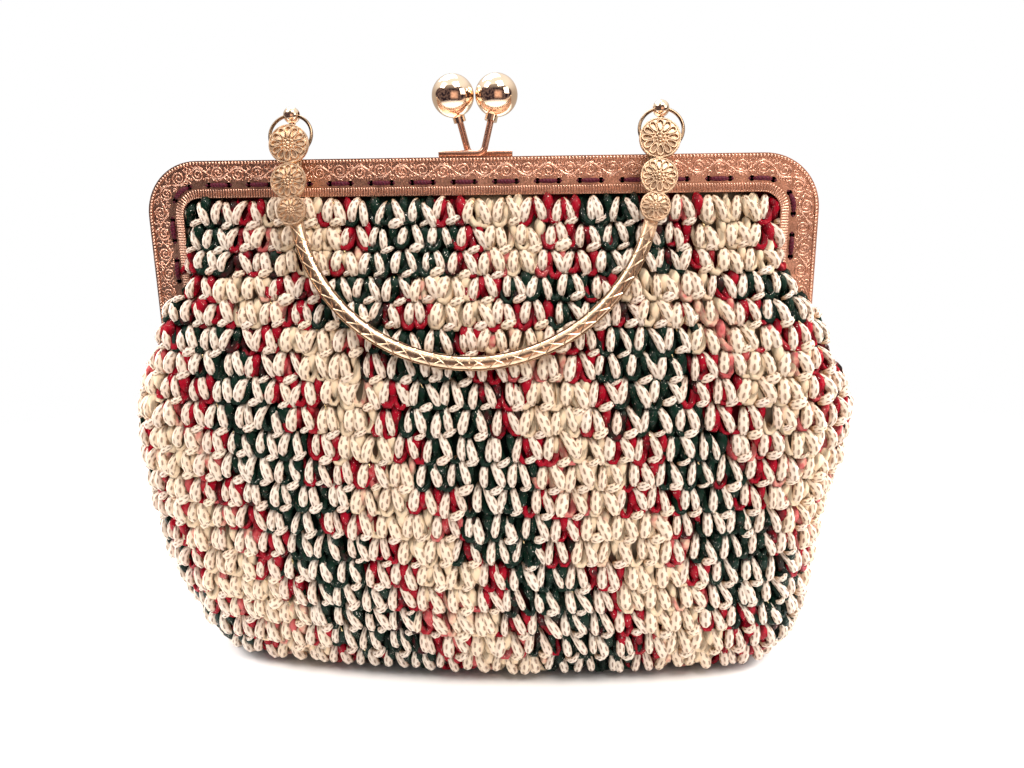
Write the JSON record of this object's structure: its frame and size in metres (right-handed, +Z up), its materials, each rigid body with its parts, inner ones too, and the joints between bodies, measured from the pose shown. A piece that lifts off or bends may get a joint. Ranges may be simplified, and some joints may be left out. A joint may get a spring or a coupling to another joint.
{
  "type": "crochet frame handbag",
  "caption": "Crocheted pouch handbag on a metal kiss-lock purse frame, with a half-round swing handle hung on rings with flower ends.",
  "frame": {"origin": "centre of the flat base, on the surface the bag stands on", "axes": "+Z up, +X towards the right-hand end seen from the front, -Y towards the front, where the handle hangs"},
  "size_m": [0.2258, 0.0698, 0.1864],
  "materials": {
    "yarn": "crocheted yarn, ivory with red and green strands",
    "frame_metal": "embossed, plated rose gold",
    "rivet_metal": "plated",
    "rod_metal": "plated",
    "ball_metal": "polished",
    "lug_metal": "polished",
    "ring_wire": "plated",
    "handle_metal": "cast, polished and engraved",
    "thread": "twisted sewing thread"
  },
  "bodies": {
    "bag": {"pouch": "yarn", "front_frame": "frame_metal", "left_rivet": "rivet_metal", "right_rivet": "rivet_metal", "front_clasp_rod": "rod_metal", "front_clasp_ball": "ball_metal", "left_lug": "lug_metal", "right_lug": "lug_metal", "front_stitching": "thread"},
    "back_half": {"back_frame": "frame_metal", "back_clasp_rod": "rod_metal", "back_clasp_ball": "ball_metal", "back_stitching": "thread"},
    "left_link": {"left_ring": "ring_wire"},
    "right_link": {"right_ring": "ring_wire"},
    "bow_handle": {"handle": "handle_metal"}
  },
  "joints": [
    {"name": "frame_hinge", "type": "hinge", "parent": "bag", "child": "back_half", "pos_m": [0, 0, 0.11], "axis": [-1, 0, 0], "range_deg": [0, 78]},
    {"name": "left_ring_swing", "type": "hinge", "parent": "bag", "child": "left_link", "pos_m": [-0.0555, -0.0039, 0.175], "axis": [-1, 0, 0], "range_deg": [0, 180]},
    {"name": "right_ring_swing", "type": "hinge", "parent": "bag", "child": "right_link", "pos_m": [0.0555, -0.0039, 0.175], "axis": [-1, 0, 0], "range_deg": [0, 180]},
    {"name": "handle_swing", "type": "hinge", "parent": "left_link", "child": "bow_handle", "pos_m": [0, -0.00869, 0.16313], "axis": [-1, 0, 0], "range_deg": [0, 18]}
  ],
  "couplings": [
    {"joint": "right_ring_swing", "follows": "left_ring_swing", "ratio": 1}
  ]
}
